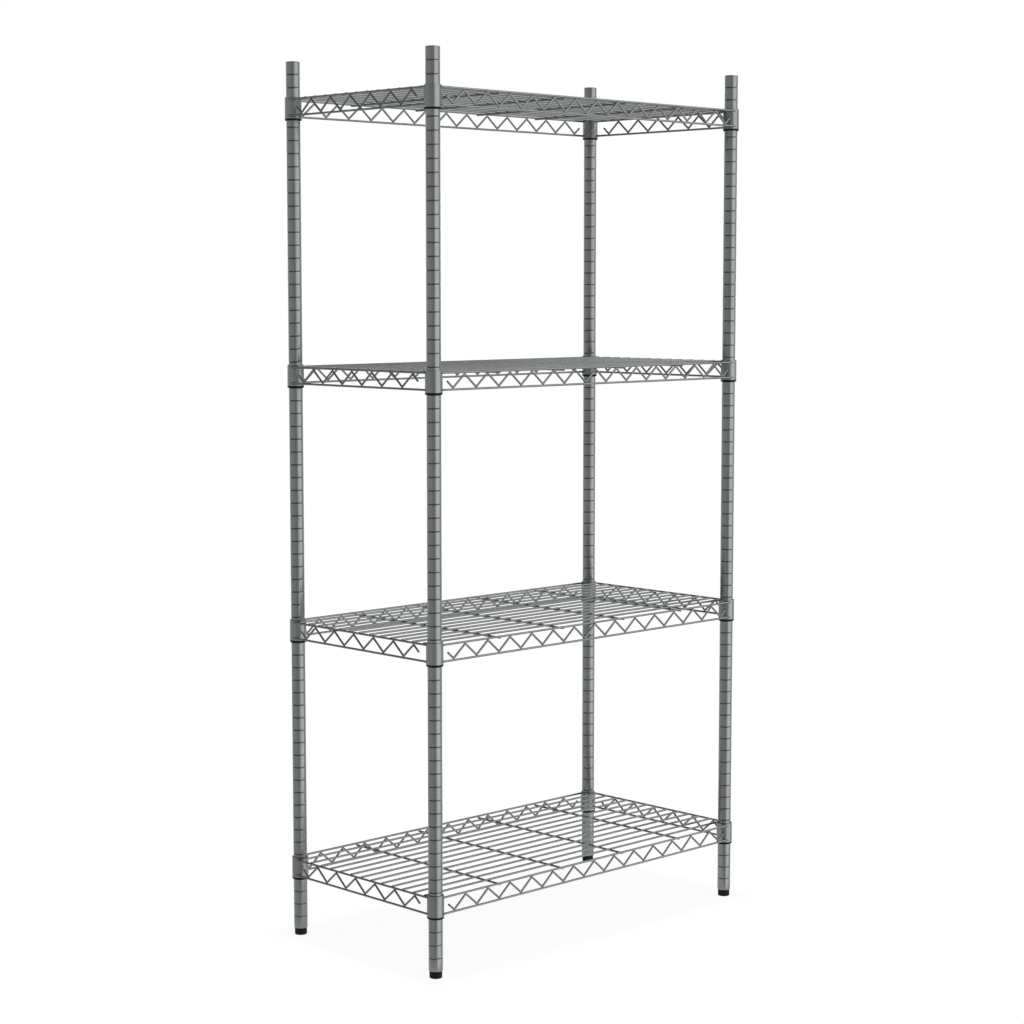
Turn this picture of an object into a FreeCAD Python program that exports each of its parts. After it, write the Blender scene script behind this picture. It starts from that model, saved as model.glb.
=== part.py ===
import FreeCAD, Part
import math
import os
import Sketcher
from FreeCAD import Vector

# Four-tier wire shelving unit: grooved tube posts, tapered split sleeves, welded wire shelves.
# Millimetres, +Z up, origin on the floor under the middle of the unit, long front facing -Y.
doc = FreeCAD.newDocument("wire_shelving_unit")

# Driving dimensions, in millimetres unless the name says otherwise.
SIZES = {
    # Posts, with a groove rolled in at every pitch
    "post_spacing_long": 837.0,
    "post_spacing_short": 406.5,
    "post_diameter": 27.4,
    "post_wall": 1.5,
    "groove_pitch": 25.4,
    "groove_width": 2.4,
    "groove_depth": 0.7,
    "groove_overcut": 1.0,
    "grooves_above_top_shelf": 2,
    # Caps closing the post tops
    "cap_head_height": 3.0,
    "cap_edge_radius": 1.2,
    "cap_plug_length": 14.0,
    "cap_plug_relief": 1.5,
    "plug_clearance": 0.1,
    # Levelling feet and the inserts they screw into
    "insert_flange_diameter": 24.6,
    "insert_flange_height": 2.0,
    "insert_length": 30.0,
    "stem_diameter": 9.8,
    "stem_clearance": 0.1,
    "stem_length": 34.0,
    "stem_tip_chamfer": 1.0,
    "pad_diameter": 24.6,
    "pad_height": 12.0,
    "pad_edge_radius": 1.2,
    "pad_socket_depth": 8.0,
    "pad_socket_clearance": 0.05,
    # Heights of the carrying grooves above the posts' lower ends, taken to the nearest groove
    "shelf_1_height": 127.0,
    "shelf_2_height": 609.6,
    "shelf_3_height": 1117.6,
    "shelf_4_height": 1651.0,
    # Corner collars, measured from the level of the shelf
    "collar_top_diameter": 32.8,
    "collar_bottom_diameter": 33.2,
    "bore_top_diameter": 29.5,
    "bore_bottom_diameter": 30.8,
    "collar_above": 19.6,
    "collar_below": 21.9,
    "collar_edge_chamfer": 0.8,
    # Split sleeves between post and collar
    "sleeve_taper_gap": 0.3,
    "sleeve_post_gap": 0.1,
    "sleeve_top_inset": 2.6,
    "sleeve_split_angle": 6.0,
    "sleeve_ridge_height": 0.5,
    "sleeve_ridge_width": 1.4,
    "top_ridge_rise": 12.0,
    "sleeve_lip_height": 3.7,
    "sleeve_lip_inset": 0.2,
    "sleeve_lip_chamfer": 0.8,
    "collar_seat_gap": 0.05,
    # Wires of a shelf
    "rail_diameter": 4.2,
    "rail_offset": 14.0,
    "top_rail_height": 15.0,
    "bottom_rail_drop": 16.6,
    "weld_gap": 0.05,
    "deck_wire_diameter": 4.2,
    "deck_wire_count": 13,
    "deck_rise": 1.2,
    "deck_collar_clearance": 0.1,
    "cross_wire_diameter": 4.2,
    "cross_wire_count": 4,
    "truss_wire_diameter": 4.2,
    "truss_bend_radius": 3.0,
    "truss_bends_long": 27,
    "truss_bends_short": 12,
    "truss_end_margin_long": 20.9,
    "truss_end_margin_short": 28.65,
}

sizes = doc.addObject("Spreadsheet::Sheet", "sizes")
for row, (name, size) in enumerate(SIZES.items(), start=1):
    sizes.set(f"A{row}", name)
    sizes.set(f"B{row}", str(size))
    sizes.setAlias(f"B{row}", name)
doc.recompute()

# Places that several pieces share, as expressions over the sheet
HALF_LONG = "sizes.post_spacing_long / 2"
HALF_SHORT = "sizes.post_spacing_short / 2"
POST_RADIUS = "sizes.post_diameter / 2"
TUBE_BORE_RADIUS = f"({POST_RADIUS} - sizes.post_wall)"
POST_BASE = "(sizes.pad_height + sizes.insert_flange_height)"
GROOVE_COUNT = "(round(sizes.shelf_4_height / sizes.groove_pitch) + sizes.grooves_above_top_shelf)"
POST_LENGTH = f"(({GROOVE_COUNT} + 1) * sizes.groove_pitch - sizes.cap_head_height)"
COLLAR_HEIGHT = "(sizes.collar_above + sizes.collar_below)"
RAIL_LONG = f"({HALF_LONG} + sizes.rail_offset)"
RAIL_SHORT = f"({HALF_SHORT} + sizes.rail_offset)"
DECK_HEIGHT = "(sizes.top_rail_height + sizes.deck_rise)"
CROSS_HEIGHT = (
    f"({DECK_HEIGHT} - sizes.deck_wire_diameter / 2"
    " - sizes.cross_wire_diameter / 2 - sizes.weld_gap)"
)
# The top shelf hangs below its carrying groove, the others are level with theirs
RIDGE_RISE = {1: "0", 2: "0", 3: "0", 4: "sizes.top_ridge_rise"}


def shelf_height(tier):
    """Height of a shelf's level above the floor."""
    groove_number = f"round(sizes.shelf_{tier}_height / sizes.groove_pitch)"
    return f"{POST_BASE} + {groove_number} * sizes.groove_pitch - {RIDGE_RISE[tier]}"


def tapered_radius(surface, height):
    """Radius of a collar's outside or bore at a height measured from the level of the shelf."""
    top, bottom = f"sizes.{surface}_top_diameter", f"sizes.{surface}_bottom_diameter"
    return f"({top} + ({bottom} - {top}) * (sizes.collar_above - ({height})) / {COLLAR_HEIGHT}) / 2"


# Tolerances for finding an edge by its height and for comparing volumes
SAME_HEIGHT = 1e-6
SAME_VOLUME = 0.001

# Small helpers for bodies and sketches
def new_body(name):
    body = doc.addObject("PartDesign::Body", name)
    body.AllowCompound = True
    return body


def origin_feature(body, role):
    return next(feature for feature in body.Origin.OriginFeatures if feature.Role == role)


def new_sketch(body, name, role):
    sketch = body.newObject("Sketcher::SketchObject", name)
    sketch.AttachmentSupport = (origin_feature(body, role), [""])
    sketch.MapMode = "FlatFace"
    return sketch


def corner_sketch(body, name):
    """Sketch standing on the axis of the post at +X, -Y, in the plane of the long side."""
    sketch = new_sketch(body, name, "XZ_Plane")
    sketch.setExpression("AttachmentOffset.Base.x", HALF_LONG)
    sketch.setExpression("AttachmentOffset.Base.z", HALF_SHORT)
    return sketch


def pin(sketch, geometry, point, kind, expression):
    index = sketch.addConstraint(Sketcher.Constraint(kind, -1, 1, geometry, point, 1.0))
    sketch.setExpression(f"Constraints[{index}]", expression)


def outline(sketch, corners):
    """Closed outline whose corners are tied to pairs of expressions."""
    count = len(corners)
    turns = [2 * math.pi * index / count for index in range(count)]
    spots = [Vector(math.cos(turn), math.sin(turn), 0) for turn in turns]
    for index in range(count):
        sketch.addGeometry(Part.LineSegment(spots[index], spots[(index + 1) % count]), False)
    for index in range(count):
        sketch.addConstraint(Sketcher.Constraint("Coincident", index, 2, (index + 1) % count, 1))
    for index, (across, up) in enumerate(corners):
        pin(sketch, index, 1, "DistanceX", across)
        pin(sketch, index, 1, "DistanceY", up)


def disc(sketch, across, up, diameter):
    """Circle for the section of a wire."""
    circle = sketch.addGeometry(Part.Circle(Vector(0, 0, 0), Vector(0, 0, 1), 1.0), False)
    pin(sketch, circle, 3, "DistanceX", across)
    pin(sketch, circle, 3, "DistanceY", up)
    index = sketch.addConstraint(Sketcher.Constraint("Diameter", circle, 2.0))
    sketch.setExpression(f"Constraints[{index}]", diameter)


def revolve(body, sketch, name, kind="PartDesign::Revolution"):
    feature = body.newObject(kind, name)
    feature.Profile = sketch
    feature.ReferenceAxis = (sketch, ["V_Axis"])
    feature.Angle = 360
    body.Tip = feature
    return feature


def round_edge(body, feature, name, radius, height):
    """Fillet the widest circular edge that lies at the given height."""
    doc.recompute()
    level = [
        (edge.Curve.Radius, index)
        for index, edge in enumerate(feature.Shape.Edges, start=1)
        if isinstance(edge.Curve, Part.Circle) and abs(edge.Curve.Center.z - height) < SAME_HEIGHT
    ]
    fillet = body.newObject("PartDesign::Fillet", name)
    fillet.Base = (feature, [f"Edge{max(level)[1]}"])
    fillet.setExpression("Radius", radius)
    body.Tip = fillet


def wire_bar(body, sketch, name, length):
    """Straight wire, even about the sketch plane."""
    bar = body.newObject("PartDesign::Pad", name)
    bar.Profile = sketch
    bar.Midplane = True
    bar.setExpression("Length", length)
    body.Tip = bar
    return bar


def row_of(body, feature, name, role, length, count):
    """Evenly spaced copies of a feature along one of the body's axes."""
    pattern = body.newObject("PartDesign::LinearPattern", name)
    pattern.Originals = [feature]
    pattern.Direction = (origin_feature(body, role), [""])
    pattern.Refine = False
    pattern.setExpression("Length", length)
    pattern.setExpression("Occurrences", count)
    body.Tip = pattern
    return pattern


def mirror_of(body, feature, name, role):
    mirror = body.newObject("PartDesign::Mirrored", name)
    mirror.Originals = [feature]
    mirror.MirrorPlane = (origin_feature(body, role), [""])
    body.Tip = mirror
    return mirror


def four_corners(body, feature, name):
    """Repeat a feature at all four posts."""
    corners = body.newObject("PartDesign::MultiTransform", name)
    corners.Originals = [feature]
    steps = []
    for role in ("YZ_Plane", "XZ_Plane"):
        step = body.newObject("PartDesign::Mirrored", f"{name}_{role[:2].lower()}")
        step.MirrorPlane = (origin_feature(body, role), [""])
        steps.append(step)
    corners.Transformations = steps
    body.Tip = corners
    return corners


# Post: a tube with V grooves rolled in at every pitch
post = new_body("post")
tube_profile = new_sketch(post, "tube_profile", "XZ_Plane")
outline(tube_profile, [
    (TUBE_BORE_RADIUS, "0"),
    (POST_RADIUS, "0"),
    (POST_RADIUS, POST_LENGTH),
    (TUBE_BORE_RADIUS, POST_LENGTH),
])
tube = revolve(post, tube_profile, "tube")
groove_profile = new_sketch(post, "groove_profile", "XZ_Plane")
GROOVE_REACH = (
    "sizes.groove_width / 2 * (sizes.groove_depth + sizes.groove_overcut) / sizes.groove_depth"
)
outline(groove_profile, [
    (f"{POST_RADIUS} - sizes.groove_depth", "sizes.groove_pitch"),
    (f"{POST_RADIUS} + sizes.groove_overcut", f"sizes.groove_pitch - {GROOVE_REACH}"),
    (f"{POST_RADIUS} + sizes.groove_overcut", f"sizes.groove_pitch + {GROOVE_REACH}"),
])
groove = revolve(post, groove_profile, "groove", "PartDesign::Groove")
grooves = row_of(post, groove, "grooves", "Z_Axis",
                 f"({GROOVE_COUNT} - 1) * sizes.groove_pitch", GROOVE_COUNT)

# Post cap: a rounded head on the tube's end, with a hollow plug inside the tube
post_cap = new_body("post_cap")
cap_profile = new_sketch(post_cap, "cap_profile", "XZ_Plane")
CAP_PLUG_RADIUS = f"({TUBE_BORE_RADIUS} - sizes.plug_clearance)"
outline(cap_profile, [
    ("0", "0"),
    (f"{CAP_PLUG_RADIUS} - sizes.cap_plug_relief", "0"),
    (f"{CAP_PLUG_RADIUS} - sizes.cap_plug_relief", "-sizes.cap_plug_length"),
    (CAP_PLUG_RADIUS, "-sizes.cap_plug_length"),
    (CAP_PLUG_RADIUS, "0"),
    (POST_RADIUS, "0"),
    (POST_RADIUS, "sizes.cap_head_height"),
    ("0", "sizes.cap_head_height"),
])
cap_turned = revolve(post_cap, cap_profile, "cap_turned")
round_edge(post_cap, cap_turned, "cap_edge", "sizes.cap_edge_radius", sizes.cap_head_height)

# Foot insert: a threaded plug pressed into the tube's lower end, with a flange under it
foot_insert = new_body("foot_insert")
insert_profile = new_sketch(foot_insert, "insert_profile", "XZ_Plane")
INSERT_BORE_RADIUS = "sizes.stem_diameter / 2 + sizes.stem_clearance"
INSERT_PLUG_RADIUS = f"{TUBE_BORE_RADIUS} - sizes.plug_clearance"
outline(insert_profile, [
    (INSERT_BORE_RADIUS, "-sizes.insert_flange_height"),
    ("sizes.insert_flange_diameter / 2", "-sizes.insert_flange_height"),
    ("sizes.insert_flange_diameter / 2", "0"),
    (INSERT_PLUG_RADIUS, "0"),
    (INSERT_PLUG_RADIUS, "sizes.insert_length"),
    (INSERT_BORE_RADIUS, "sizes.insert_length"),
])
revolve(foot_insert, insert_profile, "insert_turned")

# Foot pad: a round black glide with a socket for the stem
foot_pad = new_body("foot_pad")
pad_profile = new_sketch(foot_pad, "pad_profile", "XZ_Plane")
PAD_SOCKET_RADIUS = "sizes.stem_diameter / 2 + sizes.pad_socket_clearance"
PAD_SOCKET_FLOOR = "sizes.pad_height - sizes.pad_socket_depth"
outline(pad_profile, [
    ("0", "0"),
    ("sizes.pad_diameter / 2", "0"),
    ("sizes.pad_diameter / 2", "sizes.pad_height"),
    (PAD_SOCKET_RADIUS, "sizes.pad_height"),
    (PAD_SOCKET_RADIUS, PAD_SOCKET_FLOOR),
    ("0", PAD_SOCKET_FLOOR),
])
pad_turned = revolve(foot_pad, pad_profile, "pad_turned")
round_edge(foot_pad, pad_turned, "pad_edge", "sizes.pad_edge_radius", 0)

# Foot stem: the screw that carries the pad, with a chamfered tip
foot_stem = new_body("foot_stem")
stem_profile = new_sketch(foot_stem, "stem_profile", "XZ_Plane")
STEM_TOP = "sizes.pad_height + sizes.stem_length"
outline(stem_profile, [
    ("0", PAD_SOCKET_FLOOR),
    ("sizes.stem_diameter / 2", PAD_SOCKET_FLOOR),
    ("sizes.stem_diameter / 2", f"{STEM_TOP} - sizes.stem_tip_chamfer"),
    ("sizes.stem_diameter / 2 - sizes.stem_tip_chamfer", STEM_TOP),
    ("0", STEM_TOP),
])
revolve(foot_stem, stem_profile, "stem_turned")

# Split sleeves: two tapered halves round a post, with a ridge in the groove and a lip below
SLEEVE_BORE = f"({POST_RADIUS} + sizes.sleeve_post_gap)"
SLEEVE_TOP = "(sizes.collar_above - sizes.sleeve_top_inset)"
LIP_TOP = "(-sizes.collar_below - sizes.collar_seat_gap)"
LIP_BOTTOM = f"({LIP_TOP} - sizes.sleeve_lip_height)"
LIP_RADIUS = "(sizes.collar_bottom_diameter / 2 - sizes.sleeve_lip_inset)"


def split_sleeve(name, ridge_rise):
    """Both halves of a sleeve, with the ridge at a height above the level of the shelf."""
    body = new_body(name)
    profile = new_sketch(body, f"{name}_profile", "XZ_Plane")
    outline(profile, [
        (SLEEVE_BORE, LIP_BOTTOM),
        (f"{LIP_RADIUS} - sizes.sleeve_lip_chamfer", LIP_BOTTOM),
        (LIP_RADIUS, f"{LIP_BOTTOM} + sizes.sleeve_lip_chamfer"),
        (LIP_RADIUS, LIP_TOP),
        (f"{tapered_radius('bore', LIP_TOP)} - sizes.sleeve_taper_gap", LIP_TOP),
        (f"{tapered_radius('bore', SLEEVE_TOP)} - sizes.sleeve_taper_gap", SLEEVE_TOP),
        (SLEEVE_BORE, SLEEVE_TOP),
        (SLEEVE_BORE, f"{ridge_rise} + sizes.sleeve_ridge_width / 2"),
        (f"{POST_RADIUS} - sizes.sleeve_ridge_height", ridge_rise),
        (SLEEVE_BORE, f"{ridge_rise} - sizes.sleeve_ridge_width / 2"),
    ])
    half = revolve(body, profile, f"{name}_half")
    half.Midplane = True
    half.setExpression("Angle", "180 - sizes.sleeve_split_angle")
    other_half = body.newObject("PartDesign::PolarPattern", f"{name}_other_half")
    other_half.Originals = [half]
    other_half.Axis = (profile, ["V_Axis"])
    other_half.Angle = 360
    other_half.Occurrences = 2
    body.Tip = other_half
    return body


sleeve = split_sleeve("sleeve", "0")
top_sleeve = split_sleeve("top_sleeve", "sizes.top_ridge_rise")

# Corner collars: rings with a tapered bore that drop over the sleeves
collars = new_body("collars")
collar_profile = corner_sketch(collars, "collar_profile")
COLLAR_BOTTOM = "-sizes.collar_below"
CHAMFER_LEVEL = "sizes.collar_above - sizes.collar_edge_chamfer"
outline(collar_profile, [
    ("sizes.bore_bottom_diameter / 2", COLLAR_BOTTOM),
    ("sizes.collar_bottom_diameter / 2", COLLAR_BOTTOM),
    (tapered_radius("collar", CHAMFER_LEVEL), CHAMFER_LEVEL),
    ("sizes.collar_top_diameter / 2 - sizes.collar_edge_chamfer", "sizes.collar_above"),
    ("sizes.bore_top_diameter / 2", "sizes.collar_above"),
])
collar = revolve(collars, collar_profile, "collar")
four_corners(collars, collar, "collars_at_posts")


def rails(name, height):
    """Four perimeter rails at one height, coped where they lie against the collars."""
    body = new_body(name)
    long_section = new_sketch(body, f"{name}_long_section", "YZ_Plane")
    disc(long_section, f"-{RAIL_SHORT}", height, "sizes.rail_diameter")
    long_rail = wire_bar(body, long_section, f"{name}_front", "sizes.post_spacing_long")
    mirror_of(body, long_rail, f"{name}_back", "XZ_Plane")
    short_section = new_sketch(body, f"{name}_short_section", "XZ_Plane")
    disc(short_section, f"-{RAIL_LONG}", height, "sizes.rail_diameter")
    short_rail = wire_bar(body, short_section, f"{name}_left", "sizes.post_spacing_short")
    mirror_of(body, short_rail, f"{name}_right", "YZ_Plane")
    cope_profile = corner_sketch(body, f"{name}_cope_profile")
    above = f"{height} + sizes.rail_diameter"
    below = f"{height} - sizes.rail_diameter"
    outline(cope_profile, [
        ("0", below),
        (f"{tapered_radius('collar', below)} + sizes.weld_gap", below),
        (f"{tapered_radius('collar', above)} + sizes.weld_gap", above),
        ("0", above),
    ])
    cope = revolve(body, cope_profile, f"{name}_cope", "PartDesign::Groove")
    four_corners(body, cope, f"{name}_copes")
    return body


top_rails = rails("top_rails", "sizes.top_rail_height")
bottom_rails = rails("bottom_rails", "-sizes.bottom_rail_drop")

# Deck wires: the surface of the shelf, running the long way between the side rails
deck_wires = new_body("deck_wires")
deck_section = new_sketch(deck_wires, "deck_section", "YZ_Plane")
DECK_FOOT = f"{DECK_HEIGHT} - sizes.deck_wire_diameter / 2"
DECK_FIRST = (
    f"({HALF_SHORT} - {tapered_radius('collar', DECK_FOOT)}"
    " - sizes.deck_wire_diameter / 2 - sizes.deck_collar_clearance)"
)
disc(deck_section, f"-{DECK_FIRST}", DECK_HEIGHT, "sizes.deck_wire_diameter")
deck_wire = wire_bar(deck_wires, deck_section, "deck_wire",
                     f"2 * ({RAIL_LONG} - sizes.rail_diameter / 2 - sizes.weld_gap)")
row_of(deck_wires, deck_wire, "deck_row", "Y_Axis", f"2 * {DECK_FIRST}",
       "round(sizes.deck_wire_count)")

# Cross wires: bearers under the deck wires, running between the front and back rails
cross_wires = new_body("cross_wires")
cross_section = new_sketch(cross_wires, "cross_section", "XZ_Plane")
CROSS_STEP = f"(2 * {RAIL_LONG} / (round(sizes.cross_wire_count) + 1))"
disc(cross_section, f"{CROSS_STEP} - {RAIL_LONG}", CROSS_HEIGHT, "sizes.cross_wire_diameter")
cross_wire = wire_bar(cross_wires, cross_section, "cross_wire",
                      f"2 * ({RAIL_SHORT} - sizes.rail_diameter / 2 - sizes.weld_gap)")
row_of(cross_wires, cross_wire, "cross_row", "X_Axis",
       f"{CROSS_STEP} * (round(sizes.cross_wire_count) - 1)", "round(sizes.cross_wire_count)")


def truss_wire(span, bends, first_bend_up):
    """Zigzag wire with round bends, from mid height to mid height, along +X in the XZ plane."""
    middle = (sizes.top_rail_height - sizes.bottom_rail_drop) / 2
    rail_gap = sizes.top_rail_height + sizes.bottom_rail_drop - sizes.rail_diameter
    reach = (rail_gap - sizes.truss_wire_diameter) / 2 - sizes.weld_gap
    step = span / bends
    radius = sizes.truss_bend_radius
    # Height of the sharp corner whose rounded bend just reaches the rail
    steepness = 2 / step
    first = 1 - (radius * steepness) ** 2
    second = radius - reach
    corner = (math.sqrt(second ** 2 - first * (second ** 2 - radius ** 2)) - second) / first
    slope = math.atan(steepness * corner)
    tangent = radius * math.tan(slope)
    run_in = Vector(tangent * math.cos(slope), 0, 0)
    drop_in = Vector(0, 0, tangent * math.sin(slope))
    edges = []
    last = Vector(-span / 2, 0, middle)
    for bend in range(bends):
        up = 1 if (bend % 2 == 0) == first_bend_up else -1
        tip = Vector((bend + 0.5) * step - span / 2, 0, middle + up * corner)
        before = tip - run_in - drop_in * up
        after = tip + run_in - drop_in * up
        crest = Vector(tip.x, 0, middle + up * reach)
        edges.append(Part.LineSegment(last, before).toShape())
        edges.append(Part.Arc(before, crest, after).toShape())
        last = after
    edges.append(Part.LineSegment(last, Vector(span / 2, 0, middle)).toShape())
    path = Part.Wire(edges)
    start = edges[0].Vertexes[0].Point
    section = Part.Circle(start, edges[0].tangentAt(edges[0].FirstParameter),
                          sizes.truss_wire_diameter / 2)
    wire = path.makePipeShell([Part.Wire([section.toShape()])], True, False)
    swept = path.Length * math.pi * (sizes.truss_wire_diameter / 2) ** 2
    if abs(wire.Volume / swept - 1) > SAME_VOLUME:
        raise RuntimeError("a truss wire's volume differs from its section times its length")
    return wire


# Truss wires: one zigzag between the top and bottom rails on each side of a shelf
truss_wires = doc.addObject("Part::Feature", "truss_wires")
long_truss = truss_wire(sizes.post_spacing_long - 2 * sizes.truss_end_margin_long,
                        round(sizes.truss_bends_long), False)
short_truss = truss_wire(sizes.post_spacing_short - 2 * sizes.truss_end_margin_short,
                         round(sizes.truss_bends_short), True)
short_truss.rotate(Vector(0, 0, 0), Vector(0, 0, 1), 90)
rail_y = sizes.post_spacing_short / 2 + sizes.rail_offset
rail_x = sizes.post_spacing_long / 2 + sizes.rail_offset
truss_wires.Shape = Part.Compound([
    long_truss.translated(Vector(0, -rail_y, 0)),
    long_truss.translated(Vector(0, rail_y, 0)),
    short_truss.translated(Vector(-rail_x, 0, 0)),
    short_truss.translated(Vector(rail_x, 0, 0)),
])

# Sub-parts of the unit: each one a placed copy of its pattern piece
parts = []


def place(label, piece, across, depth, height):
    part = doc.addObject("Part::Compound", label)
    part.Label = label
    part.Links = [piece]
    part.setExpression("Placement.Base.x", across)
    part.setExpression("Placement.Base.y", depth)
    part.setExpression("Placement.Base.z", height)
    parts.append(part)


TIERS = (1, 2, 3, 4)
for side_y, depth in (("front", f"-{HALF_SHORT}"), ("back", HALF_SHORT)):
    for side_x, across in (("left", f"-{HALF_LONG}"), ("right", HALF_LONG)):
        corner_name = f"{side_y}_{side_x}"
        place(f"{corner_name}_post", post, across, depth, POST_BASE)
        place(f"{corner_name}_post_cap", post_cap, across, depth, f"{POST_BASE} + {POST_LENGTH}")
        place(f"{corner_name}_foot_insert", foot_insert, across, depth, POST_BASE)
        place(f"{corner_name}_foot_pad", foot_pad, across, depth, "0")
        place(f"{corner_name}_foot_stem", foot_stem, across, depth, "0")
        for tier in TIERS:
            piece = top_sleeve if tier == TIERS[-1] else sleeve
            place(f"shelf_{tier}_{corner_name}_sleeve", piece, across, depth, shelf_height(tier))

SHELF_PIECES = {
    "collars": collars,
    "top_rails": top_rails,
    "bottom_rails": bottom_rails,
    "truss_wires": truss_wires,
    "deck_wires": deck_wires,
    "cross_wires": cross_wires,
}
for tier in TIERS:
    for piece_name, piece in SHELF_PIECES.items():
        place(f"shelf_{tier}_{piece_name}", piece, "0", "0", shelf_height(tier))

doc.recompute()

# Checks before anything is written
for item in doc.Objects:
    if "Invalid" in item.State or "Error" in item.State:
        raise RuntimeError(f"{item.Label} failed: {item.State}")
for part in parts:
    if part.Shape.isNull() or not part.Shape.isValid():
        raise RuntimeError(f"{part.Label} has no valid shape")
if not tube.Shape.Volume > groove.Shape.Volume > grooves.Shape.Volume:
    raise RuntimeError("the post's grooves cut nothing")

os.makedirs("parts", exist_ok=True)
for part in parts:
    part.Shape.exportStep(f"parts/{part.Label}.step")
    print(part.Label, len(part.Shape.Solids), "solids", round(part.Shape.Volume), "mm3")
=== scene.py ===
# %% [markdown]
# # A wire shelving unit
# Four welded wire shelves stand on four grooved tube posts. Each shelf corner is a tapered collar
# that wedges onto a split plastic sleeve, and the sleeve's ridge holds in a groove of the post.
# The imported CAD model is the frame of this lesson: it fixes every place and size. Blender adds
# what CAD leaves out: softened edges, round wire, weld nuggets, screw threads and finishes.

import math

import bmesh
import bpy
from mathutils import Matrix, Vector


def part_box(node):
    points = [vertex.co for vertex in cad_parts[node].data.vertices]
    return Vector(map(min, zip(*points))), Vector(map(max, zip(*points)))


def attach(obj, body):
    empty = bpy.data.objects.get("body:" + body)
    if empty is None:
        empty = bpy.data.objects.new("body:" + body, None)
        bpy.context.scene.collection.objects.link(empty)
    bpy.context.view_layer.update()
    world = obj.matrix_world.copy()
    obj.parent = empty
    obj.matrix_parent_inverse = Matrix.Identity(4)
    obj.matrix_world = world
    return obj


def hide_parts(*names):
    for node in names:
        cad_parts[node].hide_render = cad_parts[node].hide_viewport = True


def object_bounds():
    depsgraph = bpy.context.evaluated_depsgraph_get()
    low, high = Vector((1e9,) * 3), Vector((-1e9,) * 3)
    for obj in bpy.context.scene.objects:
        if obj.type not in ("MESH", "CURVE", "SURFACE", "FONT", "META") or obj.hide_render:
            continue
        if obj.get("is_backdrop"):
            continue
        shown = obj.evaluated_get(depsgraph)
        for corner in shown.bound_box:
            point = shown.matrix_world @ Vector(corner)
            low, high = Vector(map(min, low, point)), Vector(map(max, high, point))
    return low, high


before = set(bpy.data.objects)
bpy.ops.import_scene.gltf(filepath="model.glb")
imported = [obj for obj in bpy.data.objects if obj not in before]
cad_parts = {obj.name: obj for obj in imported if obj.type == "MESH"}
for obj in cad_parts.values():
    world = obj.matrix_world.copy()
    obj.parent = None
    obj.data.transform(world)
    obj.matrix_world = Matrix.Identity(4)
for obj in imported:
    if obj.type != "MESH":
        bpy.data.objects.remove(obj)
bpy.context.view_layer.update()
mm = 0.001

# %% [markdown]
# ## The camera
# The photograph looks at one corner post from a little above the middle of the rack. The groove
# lines on the posts are an inch apart, so they work as rulers: a camera fitted to them gave this
# place, aim and focal length. It comes first, because the whole scene is seen through it.

# %% Camera
scene = bpy.context.scene
camera_data = bpy.data.cameras.new("photo_camera")
camera_data.sensor_width = 36.0
camera_data.lens = 79.36
camera = bpy.data.objects.new("photo_camera", camera_data)
scene.collection.objects.link(camera)
camera.location = (-3.2230, -3.3016, 1.3070)
aim = Vector((-0.0120, 0.0080, 0.8444))
camera.rotation_euler = (aim - camera.location).to_track_quat("-Z", "Y").to_euler()
scene.camera = camera
print("camera to rack in m:", round((aim - camera.location).length, 3))

# %% [markdown]
# ## Places from the frame
# Nothing is placed by eye. The caps give the four post axes, and the lower edge of a shelf's
# collars gives the level of the shelf. All its other heights count from there.

# %% Post axes and shelf levels
CORNERS = ("front_left", "front_right", "back_left", "back_right")
TIERS = ("shelf_1", "shelf_2", "shelf_3", "shelf_4")
COLLAR_BELOW = 21.9 * mm


def middle_of(node):
    low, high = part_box(node)
    return (low + high) / 2


axis_of = {}
for corner in CORNERS:
    place = middle_of(f"{corner}_post_cap")
    axis_of[corner] = Vector((place.x, place.y, 0))
level_of = {tier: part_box(f"{tier}_collars")[0].z + COLLAR_BELOW for tier in TIERS}
half_long = abs(axis_of["front_left"].x)
half_short = abs(axis_of["front_left"].y)
print("post spacing in mm:", round(2 * half_long / mm, 1), round(2 * half_short / mm, 1))
print("shelf levels in mm:", [round(z / mm, 1) for z in level_of.values()])

# %% [markdown]
# ## Node helpers
# Shader groups and Geometry Nodes trees are both built from nodes and links. A small helper adds
# a node and feeds its inputs, either from another node's socket or with a plain value, so that a
# tree reads from top to bottom like a recipe. The commonest nodes have a helper of their own.


# %% Helpers for node trees
def feed(tree, sockets, sources):
    """Feeds sockets by name, each from another socket or with a plain value."""
    for name, source in sources.items():
        if isinstance(source, bpy.types.NodeSocket):
            tree.links.new(source, sockets[name])
        else:
            sockets[name].default_value = source


def add_node(tree, kind, feeds=None, **settings):
    """Adds a node, sets its options and feeds its inputs."""
    node = tree.nodes.new(kind)
    for option, value in settings.items():
        setattr(node, option, value)
    feed(tree, node.inputs, feeds or {})
    return node


def new_tree(name, kind, inputs, outputs):
    """Makes a node group with named sockets, and returns it with its input and output sockets."""
    tree = bpy.data.node_groups.new(name, kind)
    for label, socket_type in inputs:
        tree.interface.new_socket(label, in_out="INPUT", socket_type=socket_type)
    for label, socket_type in outputs:
        tree.interface.new_socket(label, in_out="OUTPUT", socket_type=socket_type)
    start = tree.nodes.new("NodeGroupInput")
    end = tree.nodes.new("NodeGroupOutput")
    return tree, start.outputs, end.inputs


def reckon(tree, operation, *values):
    """Works out a sum of sockets or numbers with a Math node."""
    feeds = dict(enumerate(values))
    return add_node(tree, "ShaderNodeMath", feeds, operation=operation).outputs["Value"]


def rescale(tree, value, from_min, from_max, to_min=0.0, to_max=1.0, ease="LINEAR"):
    """Carries a value from one range over to another with a Map Range node."""
    return add_node(tree, "ShaderNodeMapRange", {
        "Value": value, "From Min": from_min, "From Max": from_max,
        "To Min": to_min, "To Max": to_max}, interpolation_type=ease).outputs["Result"]


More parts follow.
